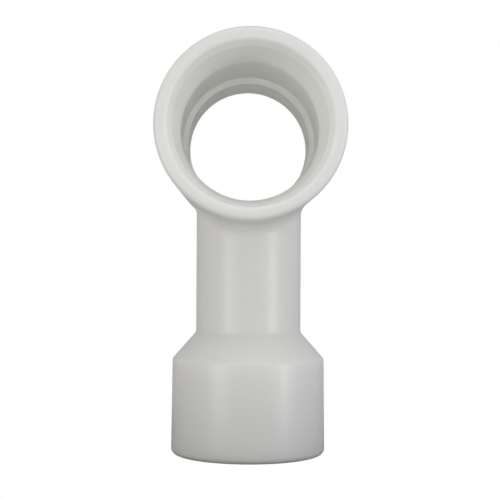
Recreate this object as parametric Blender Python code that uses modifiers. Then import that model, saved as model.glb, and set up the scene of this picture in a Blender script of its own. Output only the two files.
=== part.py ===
"""White plastic pipe tee for a boat's fill or drain line.

The tee is one moulding: a short run tube with a stepped bore along Y, a narrower neck that drops from its
middle, and a bell at the foot of the neck whose socket opens downwards.

Metres, +Z up. The origin is the centre of the bell's mouth, and the run's front mouth faces -Y.
"""

import math

import bmesh
import bpy
from mathutils import Vector

# Run tube
RUN_DIAMETER = 0.060
RUN_LENGTH = 0.093
RUN_EDGE_ROUND = 0.0016
AXIS_HEIGHT = 0.108

# Run bore, from the front mouth to the back. Depths are measured from the front face.
MOUTH_RADIUS = 0.0259
LEAD_IN_RADIUS = 0.0244
LEAD_IN_DEPTH = 0.0045
LAND_RADIUS = 0.0225
LAND_DEPTH = 0.0245
CHAMBER_RADIUS = 0.0235
CHAMBER_START = 0.0252
CHAMBER_END = 0.0625
BACK_BORE_RADIUS = 0.0218
BACK_BORE_START = 0.0660
BACK_MOUTH_RADIUS = 0.0220
BORE_EDGE = 0.0008

# Neck
NECK_RADIUS = 0.0179
NECK_FILLET = 0.0050
NECK_BORE_RADIUS = 0.0136

# Bell
BELL_MOUTH_RADIUS = 0.02625
BELL_SHOULDER_RADIUS = 0.02590
BELL_SHOULDER_HEIGHT = 0.0325
BELL_CONE_HEIGHT = 0.0090
BELL_EDGE_ROUND = 0.0019
SHOULDER_ROUND = 0.0022
NECK_FOOT_ROUND = 0.0018

# Socket inside the bell, for 42.16 mm (1-1/4 in) pipe
SOCKET_MOUTH_RADIUS = 0.02135
SOCKET_END_RADIUS = 0.02110
SOCKET_DEPTH = 0.0270
SOCKET_CHAMFER = 0.0012
PIPE_STOP_RADIUS = 0.0190
BORE_CONE_HEIGHT = 0.0110

# How finely the round surfaces are divided
RUN_SEGMENTS = 96
BRANCH_SEGMENTS = 72
ARC_STEPS = 3
FILLET_STEPS = 5

# Construction allowances
OVERLAP = 0.0015
FILLET_BITE = 0.00005
OVERSHOOT = 0.005
MERGE_DISTANCE = 0.00001
SHARP_ANGLE = math.radians(25)

PLASTIC_COLOUR = (0.71, 0.71, 0.68, 1.0)
PLASTIC_ROUGHNESS = 0.34


def clear_scene():
    """Remove every object that the file opens with."""
    for existing in list(bpy.data.objects):
        bpy.data.objects.remove(existing, do_unlink=True)


def new_collection(name):
    """A collection under the scene's own."""
    collection = bpy.data.collections.new(name)
    bpy.context.scene.collection.children.link(collection)
    return collection


def plastic():
    """Milky white moulded plastic with a satin surface."""
    material = bpy.data.materials.new("milky_white_plastic")
    material.use_nodes = True
    shader = material.node_tree.nodes["Principled BSDF"]
    shader.inputs["Base Color"].default_value = PLASTIC_COLOUR
    shader.inputs["Roughness"].default_value = PLASTIC_ROUGHNESS
    shader.inputs["Metallic"].default_value = 0.0
    return material


def corner_arc(before, corner, after, radius):
    """The points of the arc that rounds one corner of a profile."""
    back = (before - corner).normalized()
    onward = (after - corner).normalized()
    half_angle = back.angle(onward) / 2
    reach = radius / math.tan(half_angle)
    centre = corner + (back + onward).normalized() * (radius / math.sin(half_angle))
    first = (corner + back * reach - centre).normalized()
    last = (corner + onward * reach - centre).normalized()
    return [centre + first.slerp(last, step / ARC_STEPS) * radius for step in range(ARC_STEPS + 1)]


def rounded_profile(corners):
    """Profile points from (radius, height, rounding) corners. A rounding of 0 keeps a corner sharp."""
    places = [Vector((radius, height)) for radius, height, _ in corners]
    points = [places[0]]
    for i in range(1, len(corners) - 1):
        rounding = corners[i][2]
        if rounding:
            points += corner_arc(places[i - 1], places[i], places[i + 1], rounding)
        else:
            points.append(places[i])
    points.append(places[-1])
    return points


def turned(name, corners, segments, collection):
    """A solid of revolution about its own Z, from corners that start and end on the axis."""
    points = rounded_profile(corners)
    vertices = [(point.x, 0, point.y) for point in points]
    edges = [(i, i + 1) for i in range(len(points) - 1)]
    mesh = bpy.data.meshes.new(name)
    mesh.from_pydata(vertices, edges, [])
    solid = bpy.data.objects.new(name, mesh)
    collection.objects.link(solid)
    screw = solid.modifiers.new("turn", "SCREW")
    screw.axis = "Z"
    screw.angle = math.tau
    screw.steps = segments
    screw.render_steps = segments
    screw.use_merge_vertices = True
    screw.merge_threshold = MERGE_DISTANCE
    screw.use_smooth_shade = True
    return solid


def as_tool(solid):
    """Mark a solid that only shapes another one."""
    solid.hide_render = True
    solid.display_type = "WIRE"
    return solid


def lay_along_run(solid):
    """Turn a solid made about Z so that its top faces the run's front mouth."""
    solid.rotation_euler = (math.radians(90), 0, 0)
    solid.location = (0, 0, AXIS_HEIGHT)
    return solid


def run_barrel(collection):
    """The outside of the run tube, still without its bore."""
    radius = RUN_DIAMETER / 2
    end = RUN_LENGTH / 2
    corners = [
        (0, end, 0),
        (radius, end, RUN_EDGE_ROUND),
        (radius, -end, RUN_EDGE_ROUND),
        (0, -end, 0),
    ]
    return lay_along_run(turned("tee_body", corners, RUN_SEGMENTS, collection))


def run_bore(collection):
    """The stepped hole through the run: lead-in, tapered land, wider chamber, narrower back bore."""
    front = RUN_LENGTH / 2
    back = -front
    corners = [
        (0, front + OVERSHOOT, 0),
        (MOUTH_RADIUS, front + OVERSHOOT, 0),
        (MOUTH_RADIUS, front, 0),
        (LEAD_IN_RADIUS, front - LEAD_IN_DEPTH, 0),
        (LAND_RADIUS, front - LAND_DEPTH, 0),
        (CHAMBER_RADIUS, front - CHAMBER_START, 0),
        (CHAMBER_RADIUS, front - CHAMBER_END, 0),
        (BACK_BORE_RADIUS, front - BACK_BORE_START, 0),
        (BACK_MOUTH_RADIUS, back + BORE_EDGE, 0),
        (BACK_MOUTH_RADIUS + BORE_EDGE, back, 0),
        (BACK_MOUTH_RADIUS + BORE_EDGE, back - OVERSHOOT, 0),
        (0, back - OVERSHOOT, 0),
    ]
    return as_tool(lay_along_run(turned("cut_run_bore", corners, RUN_SEGMENTS, collection)))


def branch_bore(collection):
    """The hole up the branch: pipe socket, pipe stop, cone and neck bore, up into the run's chamber."""
    cone_start = SOCKET_DEPTH
    cone_end = SOCKET_DEPTH + BORE_CONE_HEIGHT
    top = AXIS_HEIGHT - CHAMBER_RADIUS / 2
    corners = [
        (0, top, 0),
        (NECK_BORE_RADIUS, top, 0),
        (NECK_BORE_RADIUS, cone_end, SHOULDER_ROUND),
        (PIPE_STOP_RADIUS, cone_start, 0),
        (SOCKET_END_RADIUS, cone_start, 0),
        (SOCKET_MOUTH_RADIUS, SOCKET_CHAMFER, 0),
        (SOCKET_MOUTH_RADIUS + SOCKET_CHAMFER, 0, 0),
        (SOCKET_MOUTH_RADIUS + SOCKET_CHAMFER, -OVERSHOOT, 0),
        (0, -OVERSHOOT, 0),
    ]
    return as_tool(turned("cut_branch_bore", corners, BRANCH_SEGMENTS, collection))


def around_branch():
    """The directions around the branch axis, one for each division."""
    for i in range(BRANCH_SEGMENTS):
        turn = math.tau * i / BRANCH_SEGMENTS
        yield Vector((math.cos(turn), math.sin(turn), 0))


def circle_ring(radius, height):
    """A level ring around the branch."""
    return [direction * radius + Vector((0, 0, height)) for direction in around_branch()]


def fillet_ring(share, run_radius):
    """One ring of the fillet between neck and run, at a share of the way from the neck (0) to the run (1).

    A ball of the fillet's radius rolls around the neck and touches both tubes. The ring joins its places.
    """
    ring = []
    for direction in around_branch():
        out = direction * (NECK_RADIUS + NECK_FILLET)
        drop = math.sqrt((run_radius + NECK_FILLET) ** 2 - out.x**2)
        centre = out + Vector((0, 0, AXIS_HEIGHT - drop))
        to_neck = -direction
        to_run = Vector((-out.x, 0, drop)).normalized()
        ring.append(centre + to_neck.slerp(to_run, share) * NECK_FILLET)
    return ring


def sunk_ring(ring, depth):
    """A ring on the run's surface, moved towards the run's axis."""
    sunk = []
    for point in ring:
        outward = Vector((point.x, 0, point.z - AXIS_HEIGHT)).normalized()
        sunk.append(point - outward * depth)
    return sunk


def branch_rings():
    """The branch's rings from inside the run's wall down to the bell's mouth."""
    run_radius = RUN_DIAMETER / 2 - FILLET_BITE
    fillet = [fillet_ring(1 - i / FILLET_STEPS, run_radius) for i in range(FILLET_STEPS + 1)]
    neck_foot = BELL_SHOULDER_HEIGHT + BELL_CONE_HEIGHT
    outline = rounded_profile(
        [
            (NECK_RADIUS, neck_foot + NECK_FILLET, 0),
            (NECK_RADIUS, neck_foot, NECK_FOOT_ROUND),
            (BELL_SHOULDER_RADIUS, BELL_SHOULDER_HEIGHT, SHOULDER_ROUND),
            (BELL_MOUTH_RADIUS, 0, BELL_EDGE_ROUND),
            (0, 0, 0),
        ]
    )
    turned_part = [circle_ring(point.x, point.y) for point in outline[:-1]]
    return [sunk_ring(fillet[0], OVERLAP)] + fillet + turned_part


def branch_solid(collection):
    """The outside of neck and bell. Its top follows the run's curve, so it is lofted ring by ring."""
    shape = bmesh.new()
    rings = [[shape.verts.new(point) for point in ring] for ring in branch_rings()]
    for upper, lower in zip(rings, rings[1:]):
        for i in range(BRANCH_SEGMENTS):
            following = (i + 1) % BRANCH_SEGMENTS
            shape.faces.new((upper[i], lower[i], lower[following], upper[following]))
    peak = shape.verts.new((0, 0, AXIS_HEIGHT - RUN_DIAMETER / 4))
    for i in range(BRANCH_SEGMENTS):
        shape.faces.new((peak, rings[0][i], rings[0][(i + 1) % BRANCH_SEGMENTS]))
    shape.faces.new(list(reversed(rings[-1])))
    mesh = bpy.data.meshes.new("neck_and_bell")
    shape.to_mesh(mesh)
    shape.free()
    solid = bpy.data.objects.new("neck_and_bell", mesh)
    collection.objects.link(solid)
    return as_tool(solid)


def combine(body, operation, tool):
    """Join a tool to the body or cut it away."""
    boolean = body.modifiers.new(tool.name, "BOOLEAN")
    boolean.operation = operation
    boolean.solver = "EXACT"
    boolean.object = tool


def apply_modifiers(body):
    """Give the body the mesh that its modifiers make, shaded smooth between its sharp edges."""
    shaped = body.evaluated_get(bpy.context.evaluated_depsgraph_get())
    mesh = bpy.data.meshes.new_from_object(shaped)
    mesh.name = body.name
    body.modifiers.clear()
    body.data = mesh
    mesh.shade_smooth()
    mesh.set_sharp_from_angle(angle=SHARP_ANGLE)


def tee_body(parts, tools):
    """The whole moulding: barrel and branch joined, then bored from the front, the back and below."""
    body = run_barrel(parts)
    combine(body, "UNION", branch_solid(tools))
    combine(body, "DIFFERENCE", run_bore(tools))
    combine(body, "DIFFERENCE", branch_bore(tools))
    apply_modifiers(body)
    body.data.materials.clear()
    body.data.materials.append(plastic())


def main():
    clear_scene()
    parts = new_collection("pipe_tee")
    tools = new_collection("cutters")
    tee_body(parts, tools)


main()
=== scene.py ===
"""The looks of the white plastic pipe tee: one moulding in milky plastic, with its studio and camera."""

import math

import bmesh
import bpy
from mathutils import Euler, Matrix, Vector


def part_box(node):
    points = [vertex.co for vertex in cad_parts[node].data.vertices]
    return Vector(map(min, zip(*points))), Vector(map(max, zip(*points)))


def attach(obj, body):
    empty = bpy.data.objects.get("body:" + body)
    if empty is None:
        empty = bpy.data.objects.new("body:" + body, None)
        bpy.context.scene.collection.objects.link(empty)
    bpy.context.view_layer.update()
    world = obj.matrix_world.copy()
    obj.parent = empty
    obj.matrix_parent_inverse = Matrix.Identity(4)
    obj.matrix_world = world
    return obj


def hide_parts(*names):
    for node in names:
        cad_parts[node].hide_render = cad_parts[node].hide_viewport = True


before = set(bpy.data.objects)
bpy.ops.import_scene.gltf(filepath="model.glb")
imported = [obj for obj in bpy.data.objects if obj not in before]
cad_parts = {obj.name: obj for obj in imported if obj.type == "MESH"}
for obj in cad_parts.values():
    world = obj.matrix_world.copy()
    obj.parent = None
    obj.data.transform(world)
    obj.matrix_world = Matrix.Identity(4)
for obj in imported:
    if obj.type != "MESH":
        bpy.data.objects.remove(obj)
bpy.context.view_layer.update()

MM = 0.001

# The frame gives the run tube's size and place. The rest of the tee is in the CAD's own dimensions.
LOW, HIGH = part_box("tee_body")
RUN_RADIUS = (HIGH.x - LOW.x) / 2
RUN_FRONT = LOW.y
RUN_BACK = HIGH.y
AXIS_HEIGHT = HIGH.z - RUN_RADIUS
FOOT = LOW.z

RUN_EDGE_ROUND = 1.6 * MM
MOUTH_RADIUS = 25.9 * MM
LEAD_IN_RADIUS = 24.4 * MM
LEAD_IN_DEPTH = 4.5 * MM
LAND_RADIUS = 22.5 * MM
LAND_DEPTH = 24.5 * MM
CHAMBER_RADIUS = 23.5 * MM
CHAMBER_START = 25.2 * MM
CHAMBER_END = 62.5 * MM
BACK_BORE_RADIUS = 21.8 * MM
BACK_BORE_START = 66 * MM
BACK_MOUTH_RADIUS = 22 * MM
BORE_EDGE = 0.8 * MM

NECK_RADIUS = 17.9 * MM
NECK_FILLET = 5 * MM
NECK_BORE_RADIUS = 13.6 * MM
NECK_BORE_EASE = 0.4 * MM

BELL_MOUTH_RADIUS = 26.25 * MM
BELL_SHOULDER_RADIUS = 25.9 * MM
BELL_SHOULDER_HEIGHT = 32.5 * MM
BELL_CONE_HEIGHT = 9 * MM
BELL_EDGE_ROUND = 1.9 * MM
SHOULDER_ROUND = 2.2 * MM
NECK_FOOT_ROUND = 1.8 * MM

SOCKET_MOUTH_RADIUS = 21.35 * MM
SOCKET_END_RADIUS = 21.1 * MM
SOCKET_DEPTH = 27 * MM
SOCKET_CHAMFER = 1.2 * MM
PIPE_STOP_RADIUS = 19 * MM
BORE_CONE_HEIGHT = 11 * MM

# Rounds of the bore's edges. The front mouth's edge is the softest.
MOUTH_ROUND = 1.2 * MM
CRISP_EDGE = 0.3 * MM
HAIR_EDGE = 0.2 * MM

# The surface net. A window in the run's wall, WINDOW_COLUMNS by WINDOW_ROWS, meets the branch's round net.
WINDOW_COLUMNS = 54
WINDOW_ROWS = 42
RUN_COLUMNS = WINDOW_COLUMNS * 3
BRANCH_COLUMNS = 2 * (WINDOW_COLUMNS + WINDOW_ROWS)
COLLAR_RINGS = 10
FILLET_RINGS = 12
NECK_RINGS = 8
ARC_STEPS = 6
LONGEST_STEP = 2.4 * MM
OUTER_WINDOW = 29 * MM
INNER_WINDOW_FRONT = -18 * MM
INNER_WINDOW_BACK = 15.3 * MM


# ---- Outlines: points (radius, place along the axis) of the turned surfaces ----


def corner_arc(before, corner, after, radius):
    """The points of the arc that rounds one corner of an outline."""
    back = (before - corner).normalized()
    onward = (after - corner).normalized()
    half_angle = back.angle(onward) / 2
    reach = radius / math.tan(half_angle)
    centre = corner + (back + onward).normalized() * (radius / math.sin(half_angle))
    first = (corner + back * reach - centre).normalized()
    last = (corner + onward * reach - centre).normalized()
    return [centre + first.slerp(last, step / ARC_STEPS) * radius for step in range(ARC_STEPS + 1)]


def divided(points):
    """The outline with its long stretches divided evenly."""
    fine = [points[0]]
    for start, end in zip(points, points[1:]):
        count = max(1, math.ceil((end - start).length / LONGEST_STEP))
        fine += [start.lerp(end, i / count) for i in range(1, count + 1)]
    return fine


def outline(corners):
    """Points from (radius, place, rounding) corners; a rounding of 0 keeps a corner as it is."""
    places = [Vector((radius, place)) for radius, place, _ in corners]
    points = [places[0]]
    for i in range(1, len(corners) - 1):
        if corners[i][2]:
            points += corner_arc(places[i - 1], places[i], places[i + 1], corners[i][2])
        else:
            points.append(places[i])
    points.append(places[-1])
    return divided(points)


def front_outline():
    """From the run's outside, round the front mouth and in along the bore to the chamber's window."""
    return outline(
        [
            (RUN_RADIUS, -OUTER_WINDOW, 0),
            (RUN_RADIUS, RUN_FRONT, RUN_EDGE_ROUND),
            (MOUTH_RADIUS, RUN_FRONT, MOUTH_ROUND),
            (LEAD_IN_RADIUS, RUN_FRONT + LEAD_IN_DEPTH, CRISP_EDGE),
            (LAND_RADIUS, RUN_FRONT + LAND_DEPTH, CRISP_EDGE),
            (CHAMBER_RADIUS, RUN_FRONT + CHAMBER_START, HAIR_EDGE),
            (CHAMBER_RADIUS, INNER_WINDOW_FRONT, 0),
        ]
    )


def back_outline():
    """From the run's outside, round the back mouth and in along the narrower bore to the window."""
    return outline(
        [
            (RUN_RADIUS, OUTER_WINDOW, 0),
            (RUN_RADIUS, RUN_BACK, RUN_EDGE_ROUND),
            (BACK_MOUTH_RADIUS + BORE_EDGE, RUN_BACK, HAIR_EDGE),
            (BACK_MOUTH_RADIUS, RUN_BACK - BORE_EDGE, HAIR_EDGE),
            (BACK_BORE_RADIUS, RUN_FRONT + BACK_BORE_START, CRISP_EDGE),
            (CHAMBER_RADIUS, RUN_FRONT + CHAMBER_END, HAIR_EDGE),
            (CHAMBER_RADIUS, INNER_WINDOW_BACK, 0),
        ]
    )


def branch_outline():
    """Down the neck and bell, round the bell's mouth, and up the socket into the neck's bore."""
    neck_foot = FOOT + BELL_SHOULDER_HEIGHT + BELL_CONE_HEIGHT
    cone_start = FOOT + SOCKET_DEPTH
    cone_end = cone_start + BORE_CONE_HEIGHT
    return outline(
        [
            (NECK_RADIUS, neck_foot + 4 * NECK_FOOT_ROUND, 0),
            (NECK_RADIUS, neck_foot, NECK_FOOT_ROUND),
            (BELL_SHOULDER_RADIUS, FOOT + BELL_SHOULDER_HEIGHT, SHOULDER_ROUND),
            (BELL_MOUTH_RADIUS, FOOT, BELL_EDGE_ROUND),
            (SOCKET_MOUTH_RADIUS + SOCKET_CHAMFER, FOOT, CRISP_EDGE),
            (SOCKET_MOUTH_RADIUS, FOOT + SOCKET_CHAMFER, CRISP_EDGE),
            (SOCKET_END_RADIUS, cone_start, CRISP_EDGE),
            (PIPE_STOP_RADIUS, cone_start, CRISP_EDGE),
            (NECK_BORE_RADIUS, cone_end, SHOULDER_ROUND),
            (NECK_BORE_RADIUS, cone_end + SHOULDER_ROUND, 0),
        ]
    )


# ---- Points on the surfaces ----


def on_run(radius, angle, place):
    """A point on a tube about the run's axis. The angle starts straight down and grows towards +X."""
    return Vector((radius * math.sin(angle), place, AXIS_HEIGHT - radius * math.cos(angle)))


def branch_directions():
    """Level directions around the branch, starting at +X and turning towards +Y."""
    for i in range(BRANCH_COLUMNS):
        turn = math.tau * i / BRANCH_COLUMNS
        yield Vector((math.cos(turn), math.sin(turn), 0))


def level_ring(radius, height):
    """A level ring around the branch."""
    return [direction * radius + Vector((0, 0, height)) for direction in branch_directions()]


def fillet_ring(share):
    """A ring of the fillet that a ball rolls between neck (share 0) and run (share 1)."""
    ring = []
    for direction in branch_directions():
        out = direction * (NECK_RADIUS + NECK_FILLET)
        drop = math.sqrt((RUN_RADIUS + NECK_FILLET) ** 2 - out.x**2)
        centre = out + Vector((0, 0, AXIS_HEIGHT - drop))
        to_run = Vector((-out.x, 0, drop)).normalized()
        ring.append(centre + (-direction).slerp(to_run, share) * NECK_FILLET)
    return ring


def bore_ring(radius, tube_radius, lowered=0.0):
    """Where a round hole of this radius up the branch meets a tube about the run's axis."""
    ring = []
    for direction in branch_directions():
        out = direction * radius
        height = AXIS_HEIGHT - math.sqrt(tube_radius**2 - out.x**2) - lowered
        ring.append(out + Vector((0, 0, height)))
    return ring


def between(first, last, count):
    """The rings that lead from one ring to another, without the first and with the last."""
    return [
        [a.lerp(b, step / count) for a, b in zip(first, last)]
        for step in range(1, count + 1)
    ]


# ---- The net of faces ----


def add_ring(net, points):
    return [net.verts.new(point) for point in points]


def bridge(net, first, second):
    """Faces between two closed rings of equal length."""
    count = len(first)
    for i in range(count):
        following = (i + 1) % count
        net.faces.new((first[i], first[following], second[following], second[i]))


def bridge_all(net, start, rings):
    """Faces from a ring of vertices on through rings of points. Returns the last ring's vertices."""
    for points in rings:
        ring = add_ring(net, points)
        bridge(net, start, ring)
        start = ring
    return start


def turned_rings(points):
    """The rings of a surface turned about the run's axis."""
    angles = [math.tau * i / RUN_COLUMNS for i in range(RUN_COLUMNS)]
    return [[on_run(point.x, angle, point.y) for angle in angles] for point in points]


def windowed_tube(net, radius, front, back):
    """A tube wall about the run's axis with a window at its underside.

    Returns its front ring, its back ring and the window's rim, whose order follows branch_directions().
    """
    half = WINDOW_COLUMNS // 2
    grid = {}
    for row in range(WINDOW_ROWS + 1):
        place = front + (back - front) * row / WINDOW_ROWS
        for column in range(-half, RUN_COLUMNS - half):
            inside = 0 < row < WINDOW_ROWS and abs(column) < half
            if not inside:
                angle = math.tau * column / RUN_COLUMNS
                grid[column % RUN_COLUMNS, row] = net.verts.new(on_run(radius, angle, place))
    for row in range(WINDOW_ROWS):
        for column in range(half, RUN_COLUMNS - half):
            here = column % RUN_COLUMNS
            following = (column + 1) % RUN_COLUMNS
            corners = (grid[here, row], grid[following, row])
            opposite = (grid[following, row + 1], grid[here, row + 1])
            net.faces.new(corners + opposite)
    middle = WINDOW_ROWS // 2
    rim = [grid[half, row] for row in range(middle, WINDOW_ROWS)]
    rim += [grid[column % RUN_COLUMNS, WINDOW_ROWS] for column in range(half, -half, -1)]
    rim += [grid[-half % RUN_COLUMNS, row] for row in range(WINDOW_ROWS, 0, -1)]
    rim += [grid[column % RUN_COLUMNS, 0] for column in range(-half, half)]
    rim += [grid[half, row] for row in range(middle)]
    front_ring = [grid[column, 0] for column in range(RUN_COLUMNS)]
    back_ring = [grid[column, WINDOW_ROWS] for column in range(RUN_COLUMNS)]
    return front_ring, back_ring, rim


def collar_rings(radius, rim, target):
    """Rings on the run's wall that lead from the window's rim to the ring where the branch starts."""
    rings = []
    for step in range(1, COLLAR_RINGS + 1):
        share = step / COLLAR_RINGS
        ring = []
        for vertex, end in zip(rim, target):
            start = vertex.co
            start_angle = math.atan2(start.x, AXIS_HEIGHT - start.z)
            end_angle = math.atan2(end.x, AXIS_HEIGHT - end.z)
            angle = start_angle + (end_angle - start_angle) * share
            ring.append(on_run(radius, angle, start.y + (end.y - start.y) * share))
        rings.append(ring)
    return rings


def build_moulding():
    """The tee's whole surface as one closed net of four-sided faces."""
    net = bmesh.new()
    outer_front, outer_back, outer_rim = windowed_tube(net, RUN_RADIUS, -OUTER_WINDOW, OUTER_WINDOW)
    inner_front, inner_back, inner_rim = windowed_tube(
        net, CHAMBER_RADIUS, INNER_WINDOW_FRONT, INNER_WINDOW_BACK
    )
    for start, end, points in (
        (outer_front, inner_front, front_outline()),
        (outer_back, inner_back, back_outline()),
    ):
        last = bridge_all(net, start, turned_rings(points[1:-1]))
        bridge(net, last, end)

    collar = collar_rings(RUN_RADIUS, outer_rim, fillet_ring(1))
    fillet = [fillet_ring(1 - i / FILLET_RINGS) for i in range(1, FILLET_RINGS + 1)]
    branch = branch_outline()
    neck_top = level_ring(branch[0].x, branch[0].y)
    bore_top = level_ring(branch[-1].x, branch[-1].y)
    bore_edge = bore_ring(NECK_BORE_RADIUS, CHAMBER_RADIUS, NECK_BORE_EASE)
    rings = collar + fillet + between(fillet[-1], neck_top, NECK_RINGS)
    rings += [level_ring(point.x, point.y) for point in branch[1:]]
    rings += between(bore_top, bore_edge, NECK_RINGS)
    last = bridge_all(net, outer_rim, rings)
    wall_edge = bore_ring(NECK_BORE_RADIUS + NECK_BORE_EASE, CHAMBER_RADIUS)
    inner_collar = collar_rings(CHAMBER_RADIUS, inner_rim, wall_edge)
    last = bridge_all(net, last, list(reversed(inner_collar)))
    bridge(net, last, inner_rim)

    bmesh.ops.recalc_face_normals(net, faces=net.faces)
    mesh = bpy.data.meshes.new("tee_moulding")
    net.to_mesh(mesh)
    net.free()
    mesh.shade_smooth()
    piece = bpy.data.objects.new("tee_moulding", mesh)
    bpy.context.scene.collection.objects.link(piece)
    return piece


# ---- Material ----

# The plastic's colour drifts between these two whites.
WARM_WHITE = (0.868, 0.866, 0.840, 1)
CLEAR_WHITE = (0.892, 0.894, 0.874, 1)
CLOUD_SCALE = 38
CLOUD_DETAIL = 3
SMEAR_SCALE = 160
SMEAR_DETAIL = 5
GLOSSIEST = 0.30
DULLEST = 0.38
PEEL_SCALE = 420
PEEL_DETAIL = 2
PEEL_STRENGTH = 0.25
PEEL_DEPTH = 0.06 * MM
NOISE_LOW = 0.3
NOISE_HIGH = 0.7

# Light enters the milky plastic and spreads in it.
TRANSLUCENCY = 0.4
SPREAD_DEPTH = 14 * MM
SPREAD_TINT = (1.0, 0.97, 0.92)
PLASTIC_IOR = 1.5


def node(tree, kind, x, y, **settings):
    made = tree.nodes.new(kind)
    made.location = (x, y)
    for name, value in settings.items():
        setattr(made, name, value)
    return made


def noise(tree, place, y, scale, detail):
    """The value of a noise pattern over the tee."""
    pattern = node(tree, "ShaderNodeTexNoise", -1100, y)
    pattern.inputs["Scale"].default_value = scale
    pattern.inputs["Detail"].default_value = detail
    tree.links.new(place, pattern.inputs["Vector"])
    return pattern.outputs["Fac"]


def add_clouds(tree, place, shader):
    """Soft clouds of slightly warmer and clearer white."""
    tint = node(tree, "ShaderNodeValToRGB", -800, 300)
    low, high = tint.color_ramp.elements
    low.position = NOISE_LOW
    low.color = WARM_WHITE
    high.position = NOISE_HIGH
    high.color = CLEAR_WHITE
    tree.links.new(noise(tree, place, 300, CLOUD_SCALE, CLOUD_DETAIL), tint.inputs["Fac"])
    tree.links.new(tint.outputs["Color"], shader.inputs["Base Color"])


def add_smears(tree, place, shader):
    """Patches of more and less gloss, as handling leaves."""
    gloss = node(tree, "ShaderNodeMapRange", -800, 0)
    gloss.inputs["From Min"].default_value = NOISE_LOW
    gloss.inputs["From Max"].default_value = NOISE_HIGH
    gloss.inputs["To Min"].default_value = GLOSSIEST
    gloss.inputs["To Max"].default_value = DULLEST
    tree.links.new(noise(tree, place, 0, SMEAR_SCALE, SMEAR_DETAIL), gloss.inputs["Value"])
    tree.links.new(gloss.outputs["Result"], shader.inputs["Roughness"])


def add_peel(tree, place, shader):
    """The faint unevenness of a moulded skin."""
    bump = node(tree, "ShaderNodeBump", -500, -300)
    bump.inputs["Strength"].default_value = PEEL_STRENGTH
    bump.inputs["Distance"].default_value = PEEL_DEPTH
    tree.links.new(noise(tree, place, -300, PEEL_SCALE, PEEL_DETAIL), bump.inputs["Height"])
    tree.links.new(bump.outputs["Normal"], shader.inputs["Normal"])


def plastic_material():
    """Milky white moulded plastic: satin, faintly uneven, slightly translucent."""
    material = bpy.data.materials.new("milky_plastic")
    material.use_nodes = True
    tree = material.node_tree
    shader = tree.nodes["Principled BSDF"]
    place = node(tree, "ShaderNodeTexCoord", -1400, 0).outputs["Object"]
    add_clouds(tree, place, shader)
    add_smears(tree, place, shader)
    add_peel(tree, place, shader)
    shader.inputs["Subsurface Weight"].default_value = TRANSLUCENCY
    shader.inputs["Subsurface Radius"].default_value = SPREAD_TINT
    shader.inputs["Subsurface Scale"].default_value = SPREAD_DEPTH
    shader.inputs["IOR"].default_value = PLASTIC_IOR
    return material


# ---- Studio ----

WHITE = (1, 1, 1)
WARM = (1.0, 0.97, 0.91)
SOFT = (1.0, 0.995, 0.97)
COOL = (0.97, 1.0, 1.0)

# Soft light from all round the room: name, direction it comes from, how tight it is, strength and colour.
GLOWS = (
    ("ceiling", (0.0, 0.0, 1.0), 3.0, 0.6, WHITE),
    ("front_left", (-0.7, -0.7, 0.0), 6.0, 0.8, WHITE),
    ("front_right", (0.7, -0.7, 0.0), 6.0, 0.7, WHITE),
    ("left", (-1.0, 0.0, 0.0), 4.0, 0.2, WARM),
    ("right", (1.0, 0.0, 0.0), 4.0, 0.3, COOL),
    ("top_right", (0.6, 0.0, 0.8), 2.0, 0.1, COOL),
    ("back", (0.0, 1.0, 0.0), 4.0, 0.3, SOFT),
    ("floor_left", (-0.6, 0.6, -0.5), 4.0, 0.2, WARM),
)

# Lamps: name, azimuth in degrees (0 is the camera's side, growing to the right), level distance, height above
# the foot, width and height in metres, power in watts and colour.
LAMPS = (
    ("left_panel", -43, 0.40, 0.05, 0.14, 0.28, 0.35, WARM),
    ("right_panel", 53, 0.40, 0.02, 0.14, 0.26, 0.20, COOL),
    ("right_strip", 53, 0.40, 0.10, 0.022, 0.16, 0.10, COOL),
    ("right_low_strip", 53, 0.40, -0.035, 0.022, 0.06, 0.05, COOL),
    ("top_panel", 0, 0.20, 0.42, 0.15, 0.15, 0.15, COOL),
    ("near_panel", 40, 0.22, 0.20, 0.10, 0.10, 0.02, COOL),
)
TEE_MIDDLE = Vector((0, 0, FOOT + 70 * MM))

BORE_LAMP_DISTANCE = 60 * MM
BORE_LAMP_SIZE = 34 * MM
BORE_LAMP_SPREAD = math.radians(24)
BORE_LAMP_POWER = 0.005

FLOOR_SIDES = 96
FLOOR_RADIUS = 6.0
SHADE_RADIUS = 0.13
SHADE_GREY = (0.25, 0.25, 0.25, 1)
FLOOR_GAP = 0.5 * MM


def glowing_material(name, colour):
    material = bpy.data.materials.new(name)
    material.use_nodes = True
    tree = material.node_tree
    tree.nodes.clear()
    output = node(tree, "ShaderNodeOutputMaterial", 300, 0)
    glow = node(tree, "ShaderNodeEmission", 0, 0)
    glow.inputs["Color"].default_value = (*colour, 1)
    tree.links.new(glow.outputs["Emission"], output.inputs["Surface"])
    return material


def matt_material(name, colour):
    material = bpy.data.materials.new(name)
    material.use_nodes = True
    shader = material.node_tree.nodes["Principled BSDF"]
    shader.inputs["Base Color"].default_value = colour
    shader.inputs["Roughness"].default_value = 1.0
    shader.inputs["Specular IOR Level"].default_value = 0.0
    return material


def floor_disc(name, radius, drop, material):
    """A round sheet of floor, a little below the tee's foot."""
    bpy.ops.mesh.primitive_circle_add(
        vertices=FLOOR_SIDES, radius=radius, fill_type="NGON", location=(0, 0, FOOT - drop)
    )
    disc = bpy.context.object
    disc.name = name
    disc.data.materials.append(material)
    return disc


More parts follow.
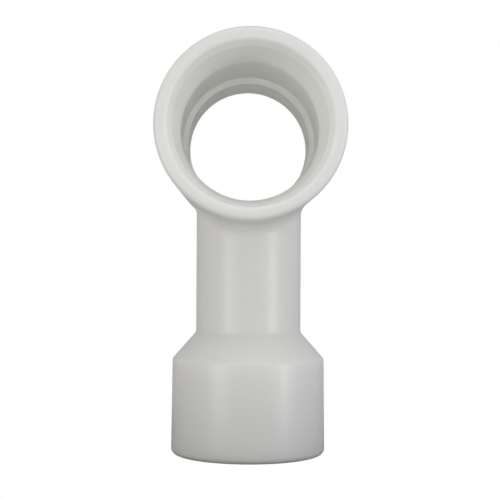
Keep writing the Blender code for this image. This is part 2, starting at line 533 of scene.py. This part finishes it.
def build_floor():
    """A large pale floor that only the camera sees, and the grey of the tee's own shade around its foot."""
    floor = floor_disc("studio_floor", FLOOR_RADIUS, 2 * FLOOR_GAP, glowing_material("pale_floor", WHITE))
    floor.visible_diffuse = False
    floor.visible_glossy = False
    floor.visible_transmission = False
    floor.visible_volume_scatter = False
    floor.visible_shadow = False
    shade = floor_disc("foot_shade", SHADE_RADIUS, FLOOR_GAP, matt_material("shaded_floor", SHADE_GREY))
    shade.visible_camera = False


def add_glow(tree, direction, tightness, strength, colour):
    """Nodes for light that comes from around one direction. Returns the colour output."""
    link = tree.links.new
    place = node(tree, "ShaderNodeTexCoord", -1200, 0)
    toward = node(tree, "ShaderNodeVectorMath", -1000, 0, operation="DOT_PRODUCT")
    toward.inputs[1].default_value = Vector(direction).normalized()
    apart = node(tree, "ShaderNodeMath", -800, 0, operation="SUBTRACT")
    apart.inputs[1].default_value = 1.0
    scaled = node(tree, "ShaderNodeMath", -600, 0, operation="MULTIPLY")
    scaled.inputs[1].default_value = tightness
    falloff = node(tree, "ShaderNodeMath", -400, 0, operation="EXPONENT")
    tinted = node(tree, "ShaderNodeVectorMath", -200, 0, operation="SCALE")
    tinted.inputs[0].default_value = Vector(colour) * strength
    link(place.outputs["Generated"], toward.inputs[0])
    link(toward.outputs["Value"], apart.inputs[0])
    link(apart.outputs["Value"], scaled.inputs[0])
    link(scaled.outputs["Value"], falloff.inputs[0])
    link(falloff.outputs["Value"], tinted.inputs["Scale"])
    return tinted.outputs["Vector"]


def all_glows(tree):
    """The sum of the glows."""
    total = None
    for _, direction, tightness, strength, colour in GLOWS:
        glow = add_glow(tree, direction, tightness, strength, colour)
        if total is None:
            total = glow
            continue
        both = node(tree, "ShaderNodeVectorMath", 0, 0, operation="ADD")
        tree.links.new(total, both.inputs[0])
        tree.links.new(glow, both.inputs[1])
        total = both.outputs["Vector"]
    return total


def build_world():
    """The camera sees white. The tee sees only the soft glows around it."""
    world = bpy.data.worlds.new("studio")
    bpy.context.scene.world = world
    world.use_nodes = True
    tree = world.node_tree
    tree.nodes.clear()
    link = tree.links.new
    room = node(tree, "ShaderNodeBackground", 300, 0)
    link(all_glows(tree), room.inputs["Color"])
    backdrop = node(tree, "ShaderNodeBackground", 300, -200)
    backdrop.inputs["Color"].default_value = (*WHITE, 1)
    path = node(tree, "ShaderNodeLightPath", 300, 300)
    mix = node(tree, "ShaderNodeMixShader", 600, 0)
    output = node(tree, "ShaderNodeOutputWorld", 800, 0)
    link(path.outputs["Is Camera Ray"], mix.inputs["Fac"])
    link(room.outputs["Background"], mix.inputs[1])
    link(backdrop.outputs["Background"], mix.inputs[2])
    link(mix.outputs["Shader"], output.inputs["Surface"])


def add_lamp(name, shape, power, colour, place):
    """An area lamp with its data, still to be sized and turned."""
    data = bpy.data.lights.new(name, "AREA")
    data.shape = shape
    data.energy = power
    data.color = colour
    lamp = bpy.data.objects.new(name, data)
    lamp.location = place
    bpy.context.scene.collection.objects.link(lamp)
    return lamp


def softbox(name, azimuth, distance, height, panel_width, panel_height, power, colour):
    """A rectangular lamp that faces the tee."""
    turn = math.radians(azimuth)
    place = Vector((math.sin(turn) * distance, -math.cos(turn) * distance, FOOT + height))
    lamp = add_lamp(name, "RECTANGLE", power, colour, place)
    lamp.data.size = panel_width
    lamp.data.size_y = panel_height
    lamp.rotation_euler = (TEE_MIDDLE - place).to_track_quat("-Z", "Y").to_euler()


def bore_lamp():
    """A small snooted lamp in line with the run, which shines into its bore and on its front face."""
    place = (0, RUN_FRONT - BORE_LAMP_DISTANCE, AXIS_HEIGHT)
    lamp = add_lamp("bore_lamp", "DISK", BORE_LAMP_POWER, SOFT, place)
    lamp.data.size = BORE_LAMP_SIZE
    lamp.data.spread = BORE_LAMP_SPREAD
    lamp.rotation_euler = (math.radians(90), 0, 0)


def build_lights():
    for lamp in LAMPS:
        softbox(*lamp)
    bore_lamp()


# ---- Camera ----

# The camera stands level with the neck, a little left of the run's axis.
CAMERA_PLACE = Vector((-4.37 * MM, RUN_FRONT - 366.4 * MM, AXIS_HEIGHT - 42.5 * MM))
LENS_MM = 86.4
SENSOR_MM = 36.0
NEAREST = 0.01
FARTHEST = 50
TURN_RIGHT = math.radians(0.67)
TILT_UP = math.radians(0.57)
ROLL = math.radians(0.30)


def build_camera():
    data = bpy.data.cameras.new("camera")
    data.lens = LENS_MM
    data.sensor_width = SENSOR_MM
    data.clip_start = NEAREST
    data.clip_end = FARTHEST
    camera = bpy.data.objects.new("camera", data)
    bpy.context.scene.collection.objects.link(camera)
    level = Euler((math.radians(90) + TILT_UP, 0, -TURN_RIGHT)).to_matrix().to_4x4()
    camera.matrix_world = Matrix.Translation(CAMERA_PLACE) @ level @ Matrix.Rotation(ROLL, 4, "Z")
    bpy.context.scene.camera = camera


def set_colours():
    """Plain display colours, so that the plastic's own grey shows."""
    view = bpy.context.scene.view_settings
    view.view_transform = "Standard"
    view.look = "None"
    view.exposure = 0
    view.gamma = 1


def main():
    moulding = build_moulding()
    moulding.data.materials.append(plastic_material())
    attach(moulding, "root")
    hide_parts("tee_body")
    build_floor()
    build_world()
    build_lights()
    build_camera()
    set_colours()


main()
